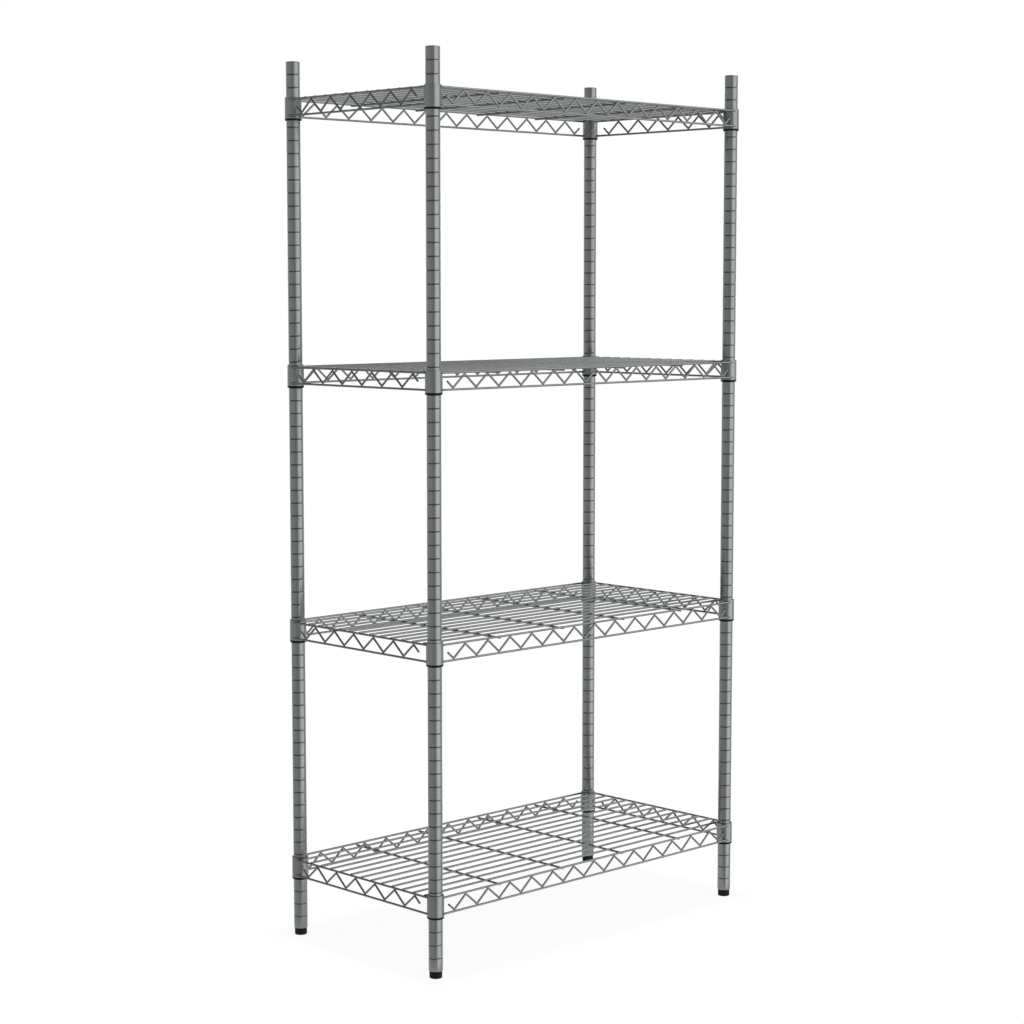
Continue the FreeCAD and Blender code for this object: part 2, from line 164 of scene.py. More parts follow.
def mix_colours(tree, share, first, second):
    """Mixes two colours by a share of the second."""
    return add_node(tree, "ShaderNodeMix", {"Factor": share, 6: first, 7: second},
                    data_type="RGBA").outputs[2]


FLOAT, COLOUR, VECTOR = "NodeSocketFloat", "NodeSocketColor", "NodeSocketVector"
print("node helpers ready")

# %% [markdown]
# ## Finishes
# The posts and wires are steel with a satin chrome plating: a mid grey with a cool cast that
# mirrors its surroundings softly. A single grey would look like plastic, so the plating gets
# three layers of detail: broad clouds where the bath left it lighter or darker, fine grain that
# breaks up the reflections, and scuffs. Each layer is one group that several finishes share.


# %% Plating clouds and grain
plated, given, gives = new_tree(
    "plated_skin", "ShaderNodeTree",
    [("Dark tone", COLOUR), ("Light tone", COLOUR), ("Clouds per metre", FLOAT),
     ("Grain per metre", VECTOR), ("Smooth", FLOAT), ("Rough", FLOAT)],
    [("Color", COLOUR), ("Roughness", FLOAT), ("Grain", FLOAT)])
spot = add_node(plated, "ShaderNodeTexCoord").outputs["Object"]
clouds = add_node(plated, "ShaderNodeTexNoise", {
    "Vector": spot, "Scale": given["Clouds per metre"], "Detail": 3.0, "Roughness": 0.55})
stretched = add_node(plated, "ShaderNodeVectorMath", {
    0: spot, 1: given["Grain per metre"]}, operation="MULTIPLY")
grain = add_node(plated, "ShaderNodeTexNoise", {
    "Vector": stretched.outputs["Vector"], "Scale": 1.0, "Detail": 2.0, "Roughness": 0.5})
BLEND_RANGE = (0.7, 1.3)
blend = reckon(plated, "ADD", clouds.outputs["Fac"], grain.outputs["Fac"])
share = rescale(plated, blend, *BLEND_RANGE)
feed(plated, gives, {
    "Color": mix_colours(plated, share, given["Dark tone"], given["Light tone"]),
    "Roughness": rescale(plated, blend, *BLEND_RANGE, given["Smooth"], given["Rough"]),
    "Grain": grain.outputs["Fac"]})
print("plating nodes:", len(plated.nodes))

# %% Scuff marks
scuffed, given, gives = new_tree(
    "scuff_marks", "ShaderNodeTree",
    [("Marks per metre", VECTOR), ("Patches per metre", FLOAT), ("Cover", FLOAT)],
    [("Mask", FLOAT)])
spot = add_node(scuffed, "ShaderNodeTexCoord").outputs["Object"]
streaked = add_node(scuffed, "ShaderNodeVectorMath", {
    0: spot, 1: given["Marks per metre"]}, operation="MULTIPLY")
streaks = add_node(scuffed, "ShaderNodeTexNoise", {
    "Vector": streaked.outputs["Vector"], "Scale": 1.0, "Detail": 4.0, "Distortion": 0.6})
patches = add_node(scuffed, "ShaderNodeTexNoise", {
    "Vector": spot, "Scale": given["Patches per metre"], "Detail": 2.0})
both = reckon(scuffed, "MULTIPLY", streaks.outputs["Fac"], patches.outputs["Fac"])
threshold = reckon(scuffed, "SUBTRACT", 0.45, given["Cover"])
feed(scuffed, gives, {"Mask": rescale(scuffed, both, threshold, 0.5)})
print("scuff nodes:", len(scuffed.nodes))

# %% Moulded plastic grain
moulded, given, gives = new_tree(
    "moulded_skin", "ShaderNodeTree",
    [("Dark tone", COLOUR), ("Light tone", COLOUR), ("Grain per metre", FLOAT),
     ("Smooth", FLOAT), ("Rough", FLOAT)],
    [("Color", COLOUR), ("Roughness", FLOAT), ("Grain", FLOAT)])
spot = add_node(moulded, "ShaderNodeTexCoord").outputs["Object"]
pebbles = add_node(moulded, "ShaderNodeTexVoronoi", {
    "Vector": spot, "Scale": given["Grain per metre"]}, feature="SMOOTH_F1")
flow = add_node(moulded, "ShaderNodeTexNoise", {
    "Vector": spot, "Scale": 220.0, "Detail": 3.0}).outputs["Fac"]
feed(moulded, gives, {
    "Color": mix_colours(moulded, flow, given["Dark tone"], given["Light tone"]),
    "Roughness": rescale(moulded, flow, 0.3, 0.7, given["Smooth"], given["Rough"]),
    "Grain": pebbles.outputs["Distance"]})
print("finish groups:", [g.name for g in bpy.data.node_groups])

# %% [markdown]
# A finish places the groups in a material and keeps the shader itself outside them. The posts
# are polished lengthwise, so their grain is stretched along Z. Wire, collars and caps have an
# even grain. The scuffs mix in a paler, duller tone, as bare polished steel under thin plating.


# %% Finishes of the metal
SCUFF_DULLNESS, SCUFF_PALENESS = 0.12, 1.25
COOL_CAST = Vector((0.945, 1.0, 0.995))


def new_finish(name, skin, skin_values, scuffs, scuff_tone, metallic, bump_height):
    """A material of one skin group under one scuff group, with the grain as a fine bump."""
    material = bpy.data.materials.new(name)
    material.use_nodes = True
    tree = material.node_tree
    skin = add_node(tree, "ShaderNodeGroup", skin_values, node_tree=skin)
    marks = add_node(tree, "ShaderNodeGroup", scuffs, node_tree=scuffed).outputs["Mask"]
    bump = add_node(tree, "ShaderNodeBump", {
        "Strength": 0.35, "Distance": bump_height, "Height": skin.outputs["Grain"]})
    feed(tree, tree.nodes["Principled BSDF"].inputs, {
        "Metallic": metallic,
        "Base Color": mix_colours(tree, marks, skin.outputs["Color"], scuff_tone),
        "Roughness": reckon(
            tree, "MULTIPLY_ADD", marks, SCUFF_DULLNESS, skin.outputs["Roughness"]),
        "Normal": bump.outputs["Normal"]})
    return material


def plating(name, dark, light, grain, smooth, rough, marks):
    """Satin plating between two tones, with its grain and scuffs per metre."""
    return new_finish(
        name, plated,
        {"Dark tone": (*(COOL_CAST * dark), 1), "Light tone": (*(COOL_CAST * light), 1),
         "Clouds per metre": 9.0, "Grain per metre": grain, "Smooth": smooth, "Rough": rough},
        {"Marks per metre": marks, "Patches per metre": 14.0, "Cover": 0.08},
        (*(COOL_CAST * light * SCUFF_PALENESS), 1), 1.0, 0.02 * mm)


def paint_groove_shade(material, dark):
    """Painted shade in the grooves, along the mask that the post's mesh carries."""
    tree = material.node_tree
    base = tree.nodes["Principled BSDF"].inputs["Base Color"]
    mask = add_node(tree, "ShaderNodeAttribute", attribute_name="groove").outputs["Fac"]
    tree.links.new(mix_colours(tree, mask, base.links[0].from_socket, (*dark, 1)), base)


EVEN_GRAIN = (1500.0, 1500.0, 1500.0)
post_plating = plating("satin_posts", 0.195, 0.246, (1600.0, 1600.0, 45.0), 0.20, 0.28,
                       (900.0, 900.0, 25.0))
# Painted shade: the base colour of the posts darkens to this grey in their grooves
paint_groove_shade(post_plating, (0.10, 0.107, 0.106))
cap_plating = plating("satin_caps", 0.195, 0.246, EVEN_GRAIN, 0.22, 0.30, (300.0, 300.0, 300.0))
collar_plating = plating("satin_collars", 0.19, 0.24, EVEN_GRAIN, 0.22, 0.30,
                         (700.0, 700.0, 60.0))
wire_plating = plating("satin_wires", 0.178, 0.225, EVEN_GRAIN, 0.22, 0.32,
                       (260.0, 260.0, 260.0))
weld_plating = plating("satin_welds", 0.178, 0.225, EVEN_GRAIN, 0.30, 0.42,
                       (500.0, 500.0, 500.0))
stem_steel = plating("zinc_screws", 0.30, 0.38, (1200.0, 1200.0, 1200.0), 0.26, 0.36,
                     (400.0, 400.0, 400.0))
print("metal finishes:", [m.name for m in bpy.data.materials if m.name.startswith("satin")])


# %% Finishes of the plastic
def black_plastic(name, dark, light, smooth, rough):
    """Matt moulded plastic between two dark tones."""
    material = new_finish(
        name, moulded,
        {"Dark tone": (dark, dark, dark, 1), "Light tone": (light, light, light, 1),
         "Grain per metre": 1400.0, "Smooth": smooth, "Rough": rough},
        {"Marks per metre": (240.0, 240.0, 420.0), "Patches per metre": 60.0, "Cover": 0.09},
        (0.02, 0.02, 0.021, 1), 0.0, 0.04 * mm)
    material.node_tree.nodes["Principled BSDF"].inputs["Specular IOR Level"].default_value = 0.15
    return material


sleeve_plastic = black_plastic("black_sleeves", 0.003, 0.006, 0.42, 0.55)
insert_plastic = black_plastic("black_inserts", 0.003, 0.006, 0.45, 0.58)
foot_plastic = black_plastic("black_glides", 0.003, 0.007, 0.48, 0.62)
print("plastic finishes:", [m.name for m in bpy.data.materials if m.name.startswith("black")])

# %% [markdown]
# ## Turned pieces
# Caps, collars, sleeves, inserts and pads are all round about an upright axis. A lathe helper
# spins an outline of (radius, height) points round that axis. Real edges are never knife sharp,
# so a second helper rounds the corners of the outline before it is spun: those narrow rounded
# bands catch the light and make the edge readable. A point just beside each rounding keeps the
# smooth shading of the long walls straight, and with it their reflections.


# %% Lathe helpers
SEWING_GAP = 0.0005 * mm


def soften(corners, steps=4, hold=0.04 * mm):
    """Rounds the corners of a closed (radius, height, rounding) outline."""
    outline = []
    for index, (radius, height, rounding) in enumerate(corners):
        corner = Vector((radius, height))
        if not rounding:
            outline.append(corner)
            continue
        back = (Vector(corners[index - 1][:2]) - corner).normalized()
        ahead = (Vector(corners[(index + 1) % len(corners)][:2]) - corner).normalized()
        half_angle = back.angle(ahead) / 2
        centre = corner + (back + ahead).normalized() * rounding / math.sin(half_angle)
        reach = rounding / math.tan(half_angle)
        first, last = corner + back * reach - centre, corner + ahead * reach - centre
        outline.append(corner + back * (reach + hold))
        outline += [centre + first.slerp(last, step / steps) * rounding
                    for step in range(steps + 1)]
        outline.append(corner + ahead * (reach + hold))
    return outline


def turn(bm, outline, axis, segments=64, first=0.0, sweep=math.tau, closed=True):
    """Spins an outline round the upright line through axis, and caps a part turn."""
    whole = sweep == math.tau
    rings = []
    for step in range(segments if whole else segments + 1):
        angle = first + sweep * step / segments
        across = Vector((math.cos(angle), math.sin(angle), 0))
        rings.append([bm.verts.new(axis + across * p.x + Vector((0, 0, p.y))) for p in outline])
    for step in range(segments):
        here, there = rings[step], rings[(step + 1) % len(rings)]
        for k in range(0 if closed else 1, len(outline)):
            bm.faces.new((here[k - 1], there[k - 1], there[k], here[k]))
    if not whole:
        bm.faces.new(rings[0])
        bm.faces.new(rings[-1])


def clean_mesh(name, bm, sharp_degrees=40.0):
    """Merges doubles, turns the faces outwards, and shades smooth up to an angle."""
    bmesh.ops.remove_doubles(bm, verts=bm.verts, dist=SEWING_GAP)
    bmesh.ops.dissolve_degenerate(bm, edges=bm.edges, dist=SEWING_GAP)
    bmesh.ops.recalc_face_normals(bm, faces=bm.faces)
    mesh = bpy.data.meshes.new(name)
    bm.to_mesh(mesh)
    bm.free()
    mesh.shade_smooth()
    mesh.set_sharp_from_angle(angle=math.radians(sharp_degrees))
    return mesh


def fit_piece(name, mesh, body, slot, *nodes):
    """Makes a finished mesh a piece of the rack: it rides on a body and stands for its nodes."""
    piece = bpy.data.objects.new(name, mesh)
    scene.collection.objects.link(piece)
    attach(piece, body)
    if nodes:
        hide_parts(*nodes)


def turned_piece(name, outline, axis, material, body, slot, node):
    """Spins one closed outline into a piece that stands for one node."""
    bm = bmesh.new()
    turn(bm, outline, axis)
    mesh = clean_mesh(name, bm)
    mesh.materials.append(material)
    fit_piece(name, mesh, body, slot, node)


POST_RADIUS = 13.7 * mm
BORE_RADIUS = 12.2 * mm
PLUG_RADIUS = 12.1 * mm
FOOT_RADIUS = 12.3 * mm
print("lathe ready, post radius in mm:", POST_RADIUS / mm)

# %% [markdown]
# ## Post caps and foot inserts
# A cap closes each tube with a low plated head, and its plug grips the bore. At the other end a
# black insert is pressed in, and its thin flange shows between tube and foot. The outlines
# repeat the CAD sizes and add the small roundings of a stamped and of a moulded edge.

# %% Caps and inserts
CAP_WALL, CAP_ROOF = 1.5 * mm, 0.5 * mm
STEM_BORE = 5.0 * mm
for corner in CORNERS:
    low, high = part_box(f"{corner}_post_cap")
    tube_low, tube_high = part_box(f"{corner}_post")
    seat, flange = tube_high.z, tube_low.z
    turned_piece(
        f"{corner}_cap_head",
        soften([(0, seat + CAP_ROOF, 0), (PLUG_RADIUS - CAP_WALL, seat + CAP_ROOF, 0),
                (PLUG_RADIUS - CAP_WALL, low.z, 0), (PLUG_RADIUS, low.z, 0.3 * mm),
                (PLUG_RADIUS, seat, 0), (POST_RADIUS, seat, 0.15 * mm),
                (POST_RADIUS, high.z, 1.2 * mm), (0, high.z, 0)], steps=6),
        axis_of[corner], cap_plating, "posts", "cap_plating", f"{corner}_post_cap")
    low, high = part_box(f"{corner}_foot_insert")
    turned_piece(
        f"{corner}_insert_plug",
        soften([(STEM_BORE, low.z, 0.4 * mm), (FOOT_RADIUS, low.z, 0.35 * mm),
                (FOOT_RADIUS, flange, 0.1 * mm), (PLUG_RADIUS, flange, 0),
                (PLUG_RADIUS, high.z, 0.6 * mm), (STEM_BORE, high.z, 0.5 * mm)]),
        axis_of[corner], insert_plastic, "posts", "insert_plastic", f"{corner}_foot_insert")
print("caps and inserts:", 2 * len(CORNERS))

# %% [markdown]
# ## Levelling feet
# Each foot is a black glide moulded onto a screw. The screw shows when a foot is let down to
# level the rack, so its thread is real: a helix swept with a three-sided section. Geometry Nodes
# do this in one line of nodes, from a spiral curve and a small profile, and keep the number of
# turns, the height and the size of the ridge as inputs.

# %% Foot pads
# A shallow ring is moulded into the sole, and the screw sits in a socket above it
SOLE_RING_INNER, SOLE_RING_OUTER, SOLE_RING_DEPTH = 8.2 * mm, 9.0 * mm, 0.3 * mm
SOCKET_RADIUS, SOCKET_FLOOR = 4.95 * mm, 4.0 * mm
for corner in CORNERS:
    low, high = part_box(f"{corner}_foot_pad")
    ring_roof, socket_floor = low.z + SOLE_RING_DEPTH, low.z + SOCKET_FLOOR
    turned_piece(
        f"{corner}_glide",
        soften([(0, low.z, 0), (SOLE_RING_INNER, low.z, 0.1 * mm),
                (SOLE_RING_INNER, ring_roof, 0.08 * mm), (SOLE_RING_OUTER, ring_roof, 0.08 * mm),
                (SOLE_RING_OUTER, low.z, 0.1 * mm), (FOOT_RADIUS, low.z, 1.2 * mm),
                (FOOT_RADIUS, high.z, 0.5 * mm), (SOCKET_RADIUS, high.z, 0.3 * mm),
                (SOCKET_RADIUS, socket_floor, 0), (0, socket_floor, 0)]),
        axis_of[corner], foot_plastic, f"{corner}_foot", "foot_plastic", f"{corner}_foot_pad")
print("glides:", len(CORNERS))


# %% Make a mesh from a Geometry Nodes tree
def grown_mesh(name, tree, values, mesh=None):
    """Runs a tree on an empty or given mesh, and returns the result as a plain mesh."""
    holder = bpy.data.objects.new(name, mesh or bpy.data.meshes.new(name))
    scene.collection.objects.link(holder)
    grower = holder.modifiers.new("grow", "NODES")
    grower.node_group = tree
    for item in tree.interface.items_tree:
        if item.in_out == "INPUT" and item.name in values:
            grower[item.identifier] = values[item.name]
    evaluated = holder.evaluated_get(bpy.context.evaluated_depsgraph_get())
    grown = bpy.data.meshes.new_from_object(evaluated)
    grown.name = name
    holder.modifiers.remove(grower)
    bpy.data.objects.remove(holder)
    return grown


def row_of(tree, shape, count, first, step):
    """Sets copies of an object in a row, from a first place on at even steps."""
    places = add_node(tree, "GeometryNodeMeshLine", {
        "Count": count, "Start Location": first, "Offset": step}, mode="OFFSET")
    copied = add_node(tree, "GeometryNodeObjectInfo", {"Object": shape})
    row = add_node(tree, "GeometryNodeInstanceOnPoints", {
        "Points": places.outputs["Mesh"], "Instance": copied.outputs["Geometry"]})
    return row.outputs["Instances"]


def dress(tree, geometry, material, result):
    """Ends a tree: makes its copies real, sets their material and hands on the result."""
    real = add_node(tree, "GeometryNodeRealizeInstances", {"Geometry": geometry})
    dressed = add_node(tree, "GeometryNodeSetMaterial", {
        "Geometry": real.outputs["Geometry"], "Material": material})
    tree.links.new(dressed.outputs["Geometry"], result)


GEOMETRY, WHOLE, MATERIAL, OBJECT = (
    "NodeSocketGeometry", "NodeSocketInt", "NodeSocketMaterial", "NodeSocketObject")
print("tree helpers ready")

# %% Threaded stems
screw, given, gives = new_tree(
    "screw_thread", "GeometryNodeTree",
    [("Core", GEOMETRY), ("Foot", VECTOR), ("Turns", FLOAT), ("Height", FLOAT),
     ("Root radius", FLOAT), ("Ridge", FLOAT), ("Material", MATERIAL)],
    [("Thread", GEOMETRY)])
helix = add_node(screw, "GeometryNodeCurveSpiral", {
    "Resolution": 28, "Rotations": given["Turns"], "Start Radius": given["Root radius"],
    "End Radius": given["Root radius"], "Height": given["Height"], "Reverse": False})
ridge = add_node(screw, "GeometryNodeCurvePrimitiveCircle", {
    "Resolution": 3, "Radius": given["Ridge"]})
coil = add_node(screw, "GeometryNodeCurveToMesh", {
    "Curve": helix.outputs["Curve"], "Profile Curve": ridge.outputs["Curve"],
    "Fill Caps": True})
lifted = add_node(screw, "GeometryNodeTransform", {
    "Geometry": coil.outputs["Mesh"], "Translation": given["Foot"]})
stem = add_node(screw, "GeometryNodeJoinGeometry", {"Geometry": given["Core"]})
screw.links.new(lifted.outputs["Geometry"], stem.inputs["Geometry"])
dress(screw, stem.outputs["Geometry"], given["Material"], gives["Thread"])

THREAD_PITCH, THREAD_RIDGE, ROOT_RADIUS = 1.5 * mm, 0.58 * mm, 4.3 * mm
# Length without thread: above the pad, and at both ends together
PLAIN_BELOW, PLAIN_BOTH = 0.8 * mm, 2.5 * mm
for corner in CORNERS:
    low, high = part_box(f"{corner}_foot_stem")
    pad_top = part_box(f"{corner}_foot_pad")[1].z
    bm = bmesh.new()
    turn(bm, soften([(0, low.z, 0), (ROOT_RADIUS, low.z, 0), (ROOT_RADIUS, high.z, 0.8 * mm),
                     (0, high.z, 0)]), axis_of[corner], segments=32)
    threaded = high.z - pad_top - PLAIN_BOTH
    mesh = grown_mesh(
        f"{corner}_screw", screw,
        {"Foot": axis_of[corner] + Vector((0, 0, pad_top + PLAIN_BELOW)),
         "Turns": threaded / THREAD_PITCH, "Height": threaded, "Root radius": ROOT_RADIUS,
         "Ridge": THREAD_RIDGE, "Material": stem_steel},
        clean_mesh(f"{corner}_core", bm))
    fit_piece(f"{corner}_screw", mesh, f"{corner}_foot", "stem_steel", f"{corner}_foot_stem")
print("threaded stems:", len(CORNERS), "with", len(mesh.polygons), "faces each")

# %% [markdown]
# ## Grooved posts
# A post is one steel tube with a groove rolled in at every inch, 67 times. Modelling the whole
# tube by hand would be long, and a displacement would need a very dense mesh. Instead one inch
# of tube is turned with its groove in the middle, a line of points stacks copies of it, and the
# copies are merged into one skin. Plain ends with a bore close the tube above and below.

# %% One inch of tube
PITCH = 25.4 * mm
GROOVES = 67
TUBE_SEGMENTS = 48
SEAM_GAP = 0.02 * mm
# Heights from the middle of the groove and depths in mm, and the depth of full painted shade
GROOVE_WALL = ((1.75, 0.0), (1.35, 0.02), (1.05, 0.14), (0.75, 0.34), (0.45, 0.53), (0.2, 0.63))
GROOVE_DEPTH, GROOVE_SHADE_DEPTH = 0.66 * mm, 0.12 * mm
inch_outline = [Vector((POST_RADIUS, -PITCH / 2))]
inch_outline += [Vector((POST_RADIUS - d * mm, -z * mm)) for z, d in GROOVE_WALL]
inch_outline += [Vector((POST_RADIUS - GROOVE_DEPTH, 0))]
inch_outline += [Vector((POST_RADIUS - d * mm, z * mm)) for z, d in reversed(GROOVE_WALL)]
inch_outline += [Vector((POST_RADIUS, PITCH / 2))]
bm = bmesh.new()
turn(bm, inch_outline, Vector((0, 0, 0)), TUBE_SEGMENTS, closed=False)
inch_of_tube = bpy.data.objects.new("inch_of_tube", clean_mesh("inch_of_tube", bm, 180.0))
scene.collection.objects.link(inch_of_tube)
# Mask of the painted groove shade, from 0 on the tube's wall to 1 at its full depth
painted_groove_shade = inch_of_tube.data.attributes.new("groove", "FLOAT", "POINT")
painted_groove_shade.data.foreach_set("value", [
    min(1.0, max(0.0, (POST_RADIUS - v.co.xy.length) / GROOVE_SHADE_DEPTH))
    for v in inch_of_tube.data.vertices])
print("one inch of tube:", len(inch_of_tube.data.polygons), "faces")

# %% Stack the inches into posts
stacked, given, gives = new_tree(
    "stacked_tube", "GeometryNodeTree",
    [("Ends", GEOMETRY), ("Inch", OBJECT), ("First groove", VECTOR), ("Pitch", VECTOR),
     ("Grooves", WHOLE), ("Material", MATERIAL)],
    [("Tube", GEOMETRY)])
whole_tube = add_node(stacked, "GeometryNodeJoinGeometry", {
    "Geometry": row_of(stacked, given["Inch"], given["Grooves"], given["First groove"],
                       given["Pitch"])})
stacked.links.new(given["Ends"], whole_tube.inputs["Geometry"])
real = add_node(stacked, "GeometryNodeRealizeInstances", {
    "Geometry": whole_tube.outputs["Geometry"]})
sewn = add_node(stacked, "GeometryNodeMergeByDistance", {
    "Geometry": real.outputs["Geometry"], "Distance": SEAM_GAP})
dress(stacked, sewn.outputs["Geometry"], given["Material"], gives["Tube"])

for corner in CORNERS:
    low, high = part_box(f"{corner}_post")
    first = low.z + PITCH
    skin_low, skin_high = first - PITCH / 2, first + (GROOVES - 0.5) * PITCH
    ends = [(POST_RADIUS, skin_high), (POST_RADIUS, high.z - 0.3 * mm),
            (POST_RADIUS, high.z - 0.2 * mm), (POST_RADIUS - 0.2 * mm, high.z),
            (BORE_RADIUS, high.z), (BORE_RADIUS, low.z), (POST_RADIUS - 0.3 * mm, low.z),
            (POST_RADIUS, low.z + 0.3 * mm), (POST_RADIUS, low.z + 0.4 * mm),
            (POST_RADIUS, skin_low)]
    bm = bmesh.new()
    turn(bm, [Vector(point) for point in ends], axis_of[corner], TUBE_SEGMENTS, closed=False)
    mesh = grown_mesh(
        f"{corner}_tube", stacked,
        {"Inch": inch_of_tube, "First groove": axis_of[corner] + Vector((0, 0, first)),
         "Pitch": (0, 0, PITCH), "Grooves": GROOVES, "Material": post_plating},
        clean_mesh(f"{corner}_ends", bm, 60.0))
    fit_piece(f"{corner}_tube", mesh, "posts", "post_plating", f"{corner}_post")
bpy.data.objects.remove(inch_of_tube)
print("posts:", len(CORNERS), "with", len(mesh.polygons), "faces each")

# %% [markdown]
# ## Collars and split sleeves
# A collar is a short tube, nearly straight outside, with a bore that widens downwards. The
# sleeve inside has the same taper in two halves, so the weight of the shelf presses the halves
# against the post. Only the sleeve's lip shows under the collar. A half sleeve is a part
# turn on the lathe, with closed ends at the split. The top shelf hangs a little below the groove
# that carries it, so the ridge of its sleeves sits higher.

# %% Collars
COLLAR_ABOVE = 19.6 * mm
RING_TOP, RING_BOTTOM = 16.35 * mm, 16.55 * mm
BORE_TOP, BORE_BOTTOM = 14.75 * mm, 15.4 * mm
for tier in TIERS:
    level = level_of[tier]
    bm = bmesh.new()
    for corner in CORNERS:
        turn(bm, soften([
            (BORE_BOTTOM, level - COLLAR_BELOW, 0.3 * mm),
            (RING_BOTTOM, level - COLLAR_BELOW, 0.4 * mm),
            (RING_TOP, level + COLLAR_ABOVE, 0.8 * mm),
            (BORE_TOP, level + COLLAR_ABOVE, 0.4 * mm)]), axis_of[corner])
    mesh = clean_mesh(f"{tier}_corner_rings", bm)
    mesh.materials.append(collar_plating)
    fit_piece(f"{tier}_corner_rings", mesh, tier, "collar_plating", f"{tier}_collars")
print("corner rings:", len(TIERS) * len(CORNERS))

# %% Split sleeves
HALF_SWEEP = math.radians(174.0)
SLEEVE_BORE, LIP_RADIUS, TAPER_GAP = 13.8 * mm, 16.4 * mm, 0.3 * mm
SLEEVE_ABOVE, LIP_HEIGHT, LIP_GAP = 17.0 * mm, 3.7 * mm, 0.05 * mm
RIDGE_HALF, RIDGE_BITE = 0.7 * mm, 0.5 * mm
RIDGE_RISE = {"shelf_4": 12.0 * mm}
for tier in TIERS:
    level = level_of[tier]
    ridge = level + RIDGE_RISE.get(tier, 0.0)
    lip, top = level - COLLAR_BELOW - LIP_GAP, level + SLEEVE_ABOVE
    outline = soften([
        (SLEEVE_BORE, lip - LIP_HEIGHT, 0.2 * mm), (LIP_RADIUS, lip - LIP_HEIGHT, 0.9 * mm),
        (LIP_RADIUS, lip, 0.25 * mm), (BORE_BOTTOM - TAPER_GAP, lip, 0),
        (BORE_TOP - TAPER_GAP, top, 0.2 * mm), (SLEEVE_BORE, top, 0.2 * mm),
        (SLEEVE_BORE, ridge + RIDGE_HALF, 0), (POST_RADIUS - RIDGE_BITE, ridge, 0.2 * mm),
        (SLEEVE_BORE, ridge - RIDGE_HALF, 0)])
    bm = bmesh.new()
    for corner in CORNERS:
        for middle in (0.0, math.pi):
            turn(bm, outline, axis_of[corner], 32, middle - HALF_SWEEP / 2, HALF_SWEEP)
    mesh = clean_mesh(f"{tier}_split_sleeves", bm)
    mesh.materials.append(sleeve_plastic)
    fit_piece(f"{tier}_split_sleeves", mesh, "posts", "sleeve_plastic",
              *[f"{tier}_{corner}_sleeve" for corner in CORNERS])
print("sleeve halves:", 2 * len(TIERS) * len(CORNERS))

# %% [markdown]
# ## Rails
# Two rails run round each shelf, one near the top of the collars and one near their foot. Each
# end is cut to lie against the tapered collar, a shape that the CAD model already has exactly.
# So a copy of the CAD mesh is taken, its loose triangles are sewn together, and it is shaded
# smooth, which makes round wire of the many flat strips. A ring of edges is cut in just before
# each end, because the shading of the slanted cut would otherwise run along the whole rail.


# %% Rails from the frame
# From the axis of the post to the ring of edges
CUT_LENGTH = 13.0 * mm


def sewn_copy(node, material):
    """A copy of a CAD mesh as one smooth skin, with a ring of edges near each end."""
    bm = bmesh.new()
    bm.from_mesh(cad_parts[node].data)
    bmesh.ops.remove_doubles(bm, verts=bm.verts, dist=SEWING_GAP)
    for along, reach in ((Vector((1, 0, 0)), half_long), (Vector((0, 1, 0)), half_short)):
        for side in (-1, 1):
            bmesh.ops.bisect_plane(
                bm, geom=bm.verts[:] + bm.edges[:] + bm.faces[:],
                plane_co=along * side * (reach - CUT_LENGTH), plane_no=along)
    mesh = clean_mesh(node, bm, 50.0)
    mesh.materials.clear()
    mesh.materials.append(material)
    return mesh


for tier in TIERS:
    for course in ("top", "bottom"):
        node = f"{tier}_{course}_rails"
        fit_piece(f"{tier}_{course}_rail_wires", sewn_copy(node, wire_plating), tier,
                  "wire_plating", node)
print("rails:", 8 * len(TIERS))

# %% [markdown]
# ## Deck and cross wires
# Thirteen wires make the deck, and four cross wires carry them from below. They are cut from
# straight wire, so each end has a small burr-free chamfer. One wire is turned on the lathe and
# laid down, and a tree sets a row of copies at an even step.

# %% Rows of straight wire
rows, given, gives = new_tree(
    "wire_row", "GeometryNodeTree",
    [("Wire", OBJECT), ("First place", VECTOR), ("Step", VECTOR), ("Wires", WHOLE),
     ("Material", MATERIAL)],
    [("Row", GEOMETRY)])
laid = row_of(rows, given["Wire"], given["Wires"], given["First place"], given["Step"])
dress(rows, laid, given["Material"], gives["Row"])
WIRE, WIRE_EDGE = 4.2 * mm, 0.35 * mm


def cut_wire(name, length, along):
    """One straight wire with softened ends, centred on the origin."""
    bm = bmesh.new()
    turn(bm, soften([(0, -length / 2, 0), (WIRE / 2, -length / 2, WIRE_EDGE),
                     (WIRE / 2, length / 2, WIRE_EDGE), (0, length / 2, 0)], steps=3),
         Vector((0, 0, 0)), segments=24)
    quarter = Vector((0, 0, 1)).rotation_difference(along).to_matrix()
    bmesh.ops.rotate(bm, verts=bm.verts, matrix=quarter)
    wire = bpy.data.objects.new(name, clean_mesh(name, bm, 50.0))
    scene.collection.objects.link(wire)
    return wire


